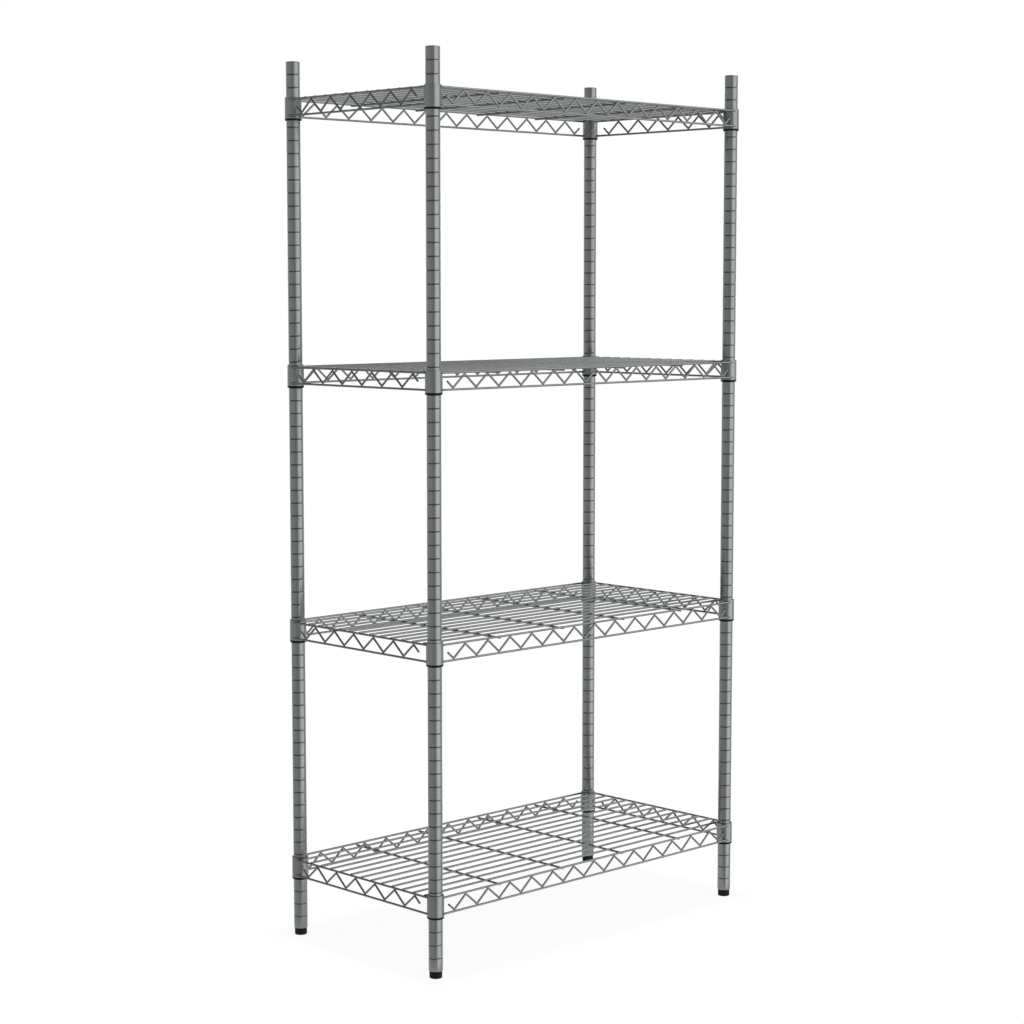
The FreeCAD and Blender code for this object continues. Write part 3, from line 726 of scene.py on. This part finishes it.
DECK_WIRES, CROSS_WIRES = 13, 4
deck_low, deck_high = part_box("shelf_1_deck_wires")
cross_low, cross_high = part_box("shelf_1_cross_wires")
deck_rise = (deck_low.z + deck_high.z) / 2 - level_of["shelf_1"]
cross_rise = (cross_low.z + cross_high.z) / 2 - level_of["shelf_1"]
deck_first, cross_first = deck_low.y + WIRE / 2, cross_low.x + WIRE / 2
deck_step = -2 * deck_first / (DECK_WIRES - 1)
cross_step = -2 * cross_first / (CROSS_WIRES - 1)
deck_wire = cut_wire("deck_wire", deck_high.x - deck_low.x, Vector((1, 0, 0)))
cross_wire = cut_wire("cross_wire", cross_high.y - cross_low.y, Vector((0, 1, 0)))
for tier in TIERS:
    level = level_of[tier]
    mesh = grown_mesh(f"{tier}_deck", rows, {
        "Wire": deck_wire, "First place": (0, deck_first, level + deck_rise),
        "Step": (0, deck_step, 0), "Wires": DECK_WIRES, "Material": wire_plating})
    fit_piece(f"{tier}_deck", mesh, tier, "wire_plating", f"{tier}_deck_wires")
    mesh = grown_mesh(f"{tier}_bearers", rows, {
        "Wire": cross_wire, "First place": (cross_first, 0, level + cross_rise),
        "Step": (cross_step, 0, 0), "Wires": CROSS_WIRES, "Material": wire_plating})
    fit_piece(f"{tier}_bearers", mesh, tier, "wire_plating", f"{tier}_cross_wires")
bpy.data.objects.remove(deck_wire)
bpy.data.objects.remove(cross_wire)
print("deck step in mm:", round(deck_step / mm, 2), "cross step in mm:", round(cross_step / mm, 1))

# %% [markdown]
# ## Truss wires
# A zigzag wire between the two rails stiffens every side. It is bent from one straight wire, so
# its corners are arcs, and each bend just reaches a rail. The tree lays points along a line,
# lifts them up and down in turn, rounds the corners with Fillet Curve and sweeps a round section
# along the path. The same tree makes the long and the short sides from different inputs.

# %% Zigzag tree
zigzag, given, gives = new_tree(
    "zigzag_wire", "GeometryNodeTree",
    [("Bends", WHOLE), ("Span", FLOAT), ("Corner height", FLOAT), ("First bend", FLOAT),
     ("Bend radius", FLOAT), ("Wire radius", FLOAT), ("Turn", VECTOR),
     ("Near side", VECTOR), ("Between sides", VECTOR), ("Material", MATERIAL)],
    [("Zigzags", GEOMETRY)])
line = add_node(zigzag, "GeometryNodeMeshLine", {
    "Count": reckon(zigzag, "ADD", given["Bends"], 2.0)}, mode="OFFSET")
number = add_node(zigzag, "GeometryNodeInputIndex").outputs["Index"]
step = reckon(zigzag, "DIVIDE", given["Span"], given["Bends"])
along = reckon(zigzag, "MULTIPLY", reckon(zigzag, "SUBTRACT", number, 0.5), step)
inside = add_node(zigzag, "ShaderNodeClamp", {"Value": along, "Min": 0.0, "Max": given["Span"]})
half_span = reckon(zigzag, "MULTIPLY", given["Span"], 0.5)
odd = reckon(zigzag, "FLOORED_MODULO", number, 2.0)
sign = reckon(zigzag, "MULTIPLY_ADD", odd, 2.0, -1.0)
signed = reckon(zigzag, "MULTIPLY", sign, given["First bend"])
lift = reckon(zigzag, "MULTIPLY", signed, given["Corner height"])
tips = add_node(zigzag, "GeometryNodeInputMeshVertexNeighbors")
is_bend = reckon(zigzag, "GREATER_THAN", tips.outputs["Vertex Count"], 1.5)
corner_place = add_node(zigzag, "ShaderNodeCombineXYZ", {
    "X": reckon(zigzag, "SUBTRACT", inside.outputs["Result"], half_span),
    "Z": reckon(zigzag, "MULTIPLY", lift, is_bend)})
bent = add_node(zigzag, "GeometryNodeSetPosition", {
    "Geometry": line.outputs["Mesh"], "Position": corner_place.outputs["Vector"]})
path = add_node(zigzag, "GeometryNodeMeshToCurve", {"Mesh": bent.outputs["Geometry"]})
rounded = add_node(zigzag, "GeometryNodeFilletCurve", {
    "Curve": path.outputs["Curve"], "Radius": given["Bend radius"], "Count": 8}, mode="POLY")
section = add_node(zigzag, "GeometryNodeCurvePrimitiveCircle", {
    "Resolution": 16, "Radius": given["Wire radius"]})
swept = add_node(zigzag, "GeometryNodeCurveToMesh", {
    "Curve": rounded.outputs["Curve"], "Profile Curve": section.outputs["Curve"],
    "Fill Caps": True})
sides = add_node(zigzag, "GeometryNodeMeshLine", {
    "Count": 2, "Start Location": given["Near side"], "Offset": given["Between sides"]},
    mode="OFFSET")
both_sides = add_node(zigzag, "GeometryNodeInstanceOnPoints", {
    "Points": sides.outputs["Mesh"], "Instance": swept.outputs["Mesh"],
    "Rotation": given["Turn"]})
dress(zigzag, both_sides.outputs["Instances"], given["Material"], gives["Zigzags"])
print("zigzag nodes:", len(zigzag.nodes))

# %% Truss wires on all sides
RAIL_OFFSET = 14.0 * mm
TRUSS_RADIUS, BEND_RADIUS = 2.1 * mm, 3.0 * mm
rail_x, rail_y = half_long + RAIL_OFFSET, half_short + RAIL_OFFSET
truss_low, truss_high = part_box("shelf_1_truss_wires")
truss_rise = (truss_low.z + truss_high.z) / 2 - level_of["shelf_1"]
truss_reach = (truss_high.z - truss_low.z) / 2 - TRUSS_RADIUS
LONG_BENDS, LONG_SPAN = 27, 795.2 * mm
SHORT_BENDS, SHORT_SPAN = 12, 349.2 * mm


def corner_height(span, bends):
    """Height of a sharp corner whose rounded bend just reaches the rail."""
    steepness = 2 * bends / span
    first = 1 - (BEND_RADIUS * steepness) ** 2
    second = BEND_RADIUS - truss_reach
    root = math.sqrt(second ** 2 - first * (second ** 2 - BEND_RADIUS ** 2))
    return (root - second) / first


def zigzags(name, bends, span, first_bend, turned, near, between):
    """The zigzag wires of two opposite sides of a shelf."""
    return grown_mesh(name, zigzag, {
        "Bends": bends, "Span": span, "Corner height": corner_height(span, bends),
        "First bend": first_bend, "Bend radius": BEND_RADIUS, "Wire radius": TRUSS_RADIUS,
        "Turn": (0, 0, turned), "Near side": near, "Between sides": between,
        "Material": wire_plating})


for tier in TIERS:
    height = level_of[tier] + truss_rise
    long_sides = zigzags(f"{tier}_long", LONG_BENDS, LONG_SPAN, -1.0, 0.0,
                         (0, -rail_y, height), (0, 2 * rail_y, 0))
    short_sides = zigzags(f"{tier}_short", SHORT_BENDS, SHORT_SPAN, 1.0, math.pi / 2,
                          (-rail_x, 0, height), (2 * rail_x, 0, 0))
    bm = bmesh.new()
    bm.from_mesh(long_sides)
    bm.from_mesh(short_sides)
    mesh = clean_mesh(f"{tier}_zigzags", bm, 50.0)
    mesh.materials.append(wire_plating)
    fit_piece(f"{tier}_zigzags", mesh, tier, "wire_plating", f"{tier}_truss_wires")
print("zigzags:", 4 * len(TIERS), "with", len(mesh.polygons), "faces to a shelf")

# %% [markdown]
# ## Weld nuggets
# Wherever two wires cross they are resistance welded: the metal is squeezed into a flat nugget
# that fills the notch between them. Hundreds of nuggets are the same few faces again, so a tree
# sets a low blob on every point of a cloud and varies its size a little, with a fixed seed. The
# size of each kind of joint is stored on the points, which keeps it to one tree.

# %% Nugget tree
nuggets, given, gives = new_tree(
    "weld_nuggets", "GeometryNodeTree",
    [("Joints", GEOMETRY), ("Spread", FLOAT), ("Seed", WHOLE), ("Material", MATERIAL)],
    [("Nuggets", GEOMETRY)])
blob = add_node(nuggets, "GeometryNodeMeshUVSphere", {
    "Segments": 8, "Rings": 5, "Radius": 0.5})
soft_blob = add_node(nuggets, "GeometryNodeSetShadeSmooth", {"Geometry": blob.outputs["Mesh"]})
size = add_node(nuggets, "GeometryNodeInputNamedAttribute", {"Name": "nugget_size"},
                data_type="FLOAT_VECTOR")
vary = add_node(nuggets, "FunctionNodeRandomValue", {
    "Seed": given["Seed"], 2: reckon(nuggets, "SUBTRACT", 1.0, given["Spread"]), 3: 1.0},
    data_type="FLOAT")
scaled = add_node(nuggets, "ShaderNodeVectorMath", {
    0: size.outputs["Attribute"], "Scale": vary.outputs[1]}, operation="SCALE")
set_down = add_node(nuggets, "GeometryNodeInstanceOnPoints", {
    "Points": given["Joints"], "Instance": soft_blob.outputs["Geometry"],
    "Scale": scaled.outputs["Vector"]})
dress(nuggets, set_down.outputs["Instances"], given["Material"], gives["Nuggets"])
print("nugget nodes:", len(nuggets.nodes))

# %% Joints of one shelf
# Sizes of the nuggets along X, Y and Z in mm
DECK_ON_CROSS, DECK_ON_RAIL, CROSS_ON_RAIL = (3.0, 3.0, 1.0), (1.6, 3.4, 2.6), (3.4, 1.6, 1.6)
LONG_BEND, SHORT_BEND = (4.4, 2.2, 0.8), (2.2, 4.4, 0.8)
LONG_RAIL_END, SHORT_RAIL_END = (2.6, 1.6, 2.2), (1.6, 2.6, 2.2)
# Places of the nuggets: heights beside the rails, and where the rails end at a collar
DECK_DROP, CROSS_LIFT = 0.6 * mm, 1.7 * mm
END_ALONG, END_ASIDE, END_RISES = 11.4 * mm, 12.3 * mm, (15.0 * mm, -16.6 * mm)


def bends_of(count, span, first):
    """Places along a side of the bends of a zigzag, and whether each is up or down."""
    return [(span * ((k + 0.5) / count - 0.5), first * (-1) ** k) for k in range(count)]


def shelf_joints():
    """Places and sizes of the nuggets of one shelf, with heights from the level of the shelf."""
    joints = []
    deck_ys = [deck_first + k * deck_step for k in range(DECK_WIRES)]
    cross_xs = [cross_first + k * cross_step for k in range(CROSS_WIRES)]
    inner_x, inner_y = rail_x - WIRE / 2, rail_y - WIRE / 2
    for y in deck_ys:
        joints += [((x, y, (deck_rise + cross_rise) / 2), DECK_ON_CROSS) for x in cross_xs]
        joints += [((x, y, deck_rise - DECK_DROP), DECK_ON_RAIL) for x in (-inner_x, inner_x)]
    for x in cross_xs:
        joints += [((x, y, cross_rise + CROSS_LIFT), CROSS_ON_RAIL) for y in (-inner_y, inner_y)]
    contact = truss_reach + TRUSS_RADIUS
    for x, up in bends_of(LONG_BENDS, LONG_SPAN, -1):
        joints += [((x, y, truss_rise + up * contact), LONG_BEND) for y in (-rail_y, rail_y)]
    for y, up in bends_of(SHORT_BENDS, SHORT_SPAN, 1):
        joints += [((x, y, truss_rise + up * contact), SHORT_BEND) for x in (-rail_x, rail_x)]
    for axis in axis_of.values():
        out_x, out_y = math.copysign(1, axis.x), math.copysign(1, axis.y)
        for rise in END_RISES:
            joints.append(((axis.x - out_x * END_ALONG, axis.y + out_y * END_ASIDE, rise),
                           LONG_RAIL_END))
            joints.append(((axis.x + out_x * END_ASIDE, axis.y - out_y * END_ALONG, rise),
                           SHORT_RAIL_END))
    return joints


SIZE_SPREAD = 0.2
joints = shelf_joints()
for seed, tier in enumerate(TIERS, start=1):
    cloud = bpy.data.meshes.new(f"{tier}_joints")
    cloud.from_pydata([Vector(p) + Vector((0, 0, level_of[tier])) for p, _ in joints], [], [])
    sizes = cloud.attributes.new("nugget_size", "FLOAT_VECTOR", "POINT")
    sizes.data.foreach_set("vector", [s * mm for _, size in joints for s in size])
    mesh = grown_mesh(f"{tier}_welds", nuggets, {
        "Spread": SIZE_SPREAD, "Seed": seed, "Material": weld_plating}, cloud)
    fit_piece(f"{tier}_welds", mesh, tier, "wire_plating")
print("weld nuggets:", len(joints), "to a shelf")

# %% [markdown]
# ## Floor, light and background
# The photograph shows the rack in a white studio: a white sweep behind it, a grey room round the
# camera, and a long bright window to the camera's right that draws the pale band on every post.
# Higher up the room is dim, and the window reaches further round: so the wires that run the long
# way are paler than the cross wires, although their plating is the same. A lamp of that size
# would have to stand metres away, so the studio is painted on the world, by direction. The
# camera sees plain white all round, and so do mirrored rays where the sweep stands. The floor is
# a white board that melts into the background at its rim and still takes the soft shadow of the
# rack. It is hardly larger than the rack, so that the posts mirror little of it.


# %% Floor
def kinds_of_ray(tree):
    """1 for camera rays, and 1 for mirrored or refracted rays."""
    rays = add_node(tree, "ShaderNodeLightPath").outputs
    mirrored = reckon(tree, "MAXIMUM", rays["Is Glossy Ray"], rays["Is Transmission Ray"])
    return rays["Is Camera Ray"], mirrored


WHITE = (1, 1, 1, 1)
FLOOR_PAINT = (0.86, 0.86, 0.86, 1)
FLOOR_MARGIN = 0.08
# Share of plain white in the middle of the floor, and the share of the margin that is all white
FLOOR_GLOW, FLOOR_RIM = 0.94, 0.03
floor_half = Vector((half_long + FLOOR_MARGIN, half_short + FLOOR_MARGIN, 1.0))
bm = bmesh.new()
bmesh.ops.create_grid(bm, x_segments=1, y_segments=1, size=1.0)
bmesh.ops.scale(bm, verts=bm.verts, vec=floor_half)
floor_mesh = bpy.data.meshes.new("floor")
bm.to_mesh(floor_mesh)
bm.free()
floor = bpy.data.objects.new("floor", floor_mesh)
scene.collection.objects.link(floor)
floor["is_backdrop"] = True
floor_white = bpy.data.materials.new("floor_white")
floor_white.use_nodes = True
tree = floor_white.node_tree
tree.nodes.remove(tree.nodes["Principled BSDF"])
spot = add_node(tree, "ShaderNodeTexCoord").outputs["Object"]
from_middle = add_node(tree, "ShaderNodeVectorMath", {0: spot}, operation="ABSOLUTE")
to_rim = add_node(tree, "ShaderNodeVectorMath", {
    0: floor_half, 1: from_middle.outputs["Vector"]}, operation="SUBTRACT")
to_sides = add_node(tree, "ShaderNodeSeparateXYZ", {"Vector": to_rim.outputs["Vector"]}).outputs
nearest = reckon(tree, "MINIMUM", to_sides["X"], to_sides["Y"])
melt = rescale(tree, nearest, FLOOR_MARGIN, FLOOR_RIM * FLOOR_MARGIN, FLOOR_GLOW, 1.0,
               "SMOOTHSTEP")
paint = add_node(tree, "ShaderNodeBsdfDiffuse", {"Color": FLOOR_PAINT})
glow = add_node(tree, "ShaderNodeEmission", {"Color": WHITE, "Strength": 1.0})
seen = reckon(tree, "MAXIMUM", *kinds_of_ray(tree))
floor_look = add_node(tree, "ShaderNodeMixShader", {
    0: reckon(tree, "MULTIPLY", seen, melt), 1: paint.outputs["BSDF"],
    2: glow.outputs["Emission"]})
tree.links.new(floor_look.outputs["Shader"], tree.nodes["Material Output"].inputs["Surface"])
floor_mesh.materials.append(floor_white)
print("floor board in m:", round(2 * floor_half.x, 2), round(2 * floor_half.y, 2))

# %% White studio on the world
WINDOW = 1.9
WINDOW_MIDDLE, WINDOW_HALF = math.radians(-72.0), math.radians(35.0)
WINDOW_EDGE = math.radians(5.0)
# Half of what the upper part of the window adds on the side away from the camera
WINDOW_SPREAD = math.radians(30.0)
# Share of the brightness that is left high up and far down
CEILING, GROUND = 0.3, 0.6
# Heights in the studio, as the sine of the angle: from where to where each change takes place
TO_CEILING, TO_GROUND, WINDOW_ENDS = (0.2, 0.36), (-0.32, -0.48), (0.75, 0.6)
# Brightness of the walls, from behind the camera round to the sweep, and where that begins
WALLS = ((0.0, 0.56), (0.12, 0.72), (0.65, 0.76), (0.88, 1.0))
TO_SWEEP = (0.86, 0.88)
world = bpy.data.worlds.new("white_studio")
scene.world = world
world.use_nodes = True
tree = world.node_tree
outward = add_node(tree, "ShaderNodeTexCoord").outputs["Generated"]
towards_sweep = add_node(tree, "ShaderNodeVectorMath", {0: outward, 1: (0.7, 0.7, 0.0)},
                         operation="DOT_PRODUCT")
turned = rescale(tree, towards_sweep.outputs["Value"], -1.0, 1.0)
walls = add_node(tree, "ShaderNodeValToRGB", {"Fac": turned})
stops = walls.color_ramp.elements
for place, _ in WALLS[1:-1]:
    stops.new(place)
for stop, (place, grey) in zip(stops, WALLS):
    stop.position, stop.color = place, (grey, grey, grey, 1)
parts = add_node(tree, "ShaderNodeSeparateXYZ", {"Vector": outward}).outputs
up_high = rescale(tree, parts["Z"], *TO_CEILING, ease="SMOOTHSTEP")
shade = rescale(tree, up_high, 0.0, 1.0, 1.0, CEILING)
shaded_walls = reckon(tree, "MULTIPLY", walls.outputs["Color"], shade)
spread = reckon(tree, "MULTIPLY", up_high, WINDOW_SPREAD)
bearing = reckon(tree, "ARCTAN2", parts["Y"], parts["X"])
from_middle = reckon(tree, "SUBTRACT", bearing, WINDOW_MIDDLE)
aside = reckon(tree, "ABSOLUTE", reckon(tree, "SUBTRACT", from_middle, spread))
across = rescale(tree, reckon(tree, "SUBTRACT", aside, spread), WINDOW_HALF + WINDOW_EDGE,
                 WINDOW_HALF - WINDOW_EDGE, ease="SMOOTHSTEP")
steep = reckon(tree, "ABSOLUTE", parts["Z"])
upright = rescale(tree, steep, *WINDOW_ENDS, ease="SMOOTHSTEP")
pane = reckon(tree, "MULTIPLY", across, upright)
studio = reckon(tree, "MAXIMUM", shaded_walls, reckon(tree, "MULTIPLY", pane, WINDOW))
down_low = rescale(tree, parts["Z"], *TO_GROUND, 1.0, GROUND, ease="SMOOTHSTEP")
room = tree.nodes["Background"]
feed(tree, room.inputs, {
    "Color": WHITE, "Strength": reckon(tree, "MULTIPLY", studio, down_low)})
white = add_node(tree, "ShaderNodeBackground", {"Color": WHITE, "Strength": 1.0})
camera_ray, mirrored_ray = kinds_of_ray(tree)
sweep = reckon(tree, "MULTIPLY", rescale(tree, turned, *TO_SWEEP),
               reckon(tree, "SUBTRACT", 1.0, up_high))
on_sweep = reckon(tree, "MULTIPLY", mirrored_ray, sweep)
sky = add_node(tree, "ShaderNodeMixShader", {
    0: reckon(tree, "MAXIMUM", camera_ray, on_sweep), 1: room.outputs["Background"],
    2: white.outputs["Background"]})
tree.links.new(sky.outputs["Shader"], tree.nodes["World Output"].inputs["Surface"])
print("walls:", [grey for _, grey in WALLS], "window:", WINDOW)

# %% Softbox
SOFTBOX_PLACE, SOFTBOX_AIM = Vector((0.6, -1.2, 3.6)), Vector((0, 0, 0.8))
SOFTBOX_WIDTH, SOFTBOX_HEIGHT = 2.4, 1.6
# Brightness of the lamp's face, where 1 is the white of the floor
SOFTBOX_GLOW = 0.9
lamp_data = bpy.data.lights.new("high_softbox", "AREA")
lamp_data.shape = "RECTANGLE"
lamp_data.size, lamp_data.size_y = SOFTBOX_WIDTH, SOFTBOX_HEIGHT
lamp_data.energy = SOFTBOX_GLOW * math.pi * SOFTBOX_WIDTH * SOFTBOX_HEIGHT
lamp = bpy.data.objects.new("high_softbox", lamp_data)
lamp.location = SOFTBOX_PLACE
lamp.rotation_euler = (SOFTBOX_AIM - SOFTBOX_PLACE).to_track_quat("-Z", "Y").to_euler()
lamp.visible_camera = False
scene.collection.objects.link(lamp)
scene.view_settings.view_transform = "Standard"

# %% [markdown]
# ## The size of the dressed rack
# The box round the dressed rack, without the floor, is printed in mm.

# %% Print the size of the dressed rack
low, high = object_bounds()
print("visual box in mm:", [round((h - l) / mm, 1) for l, h in zip(low, high)])
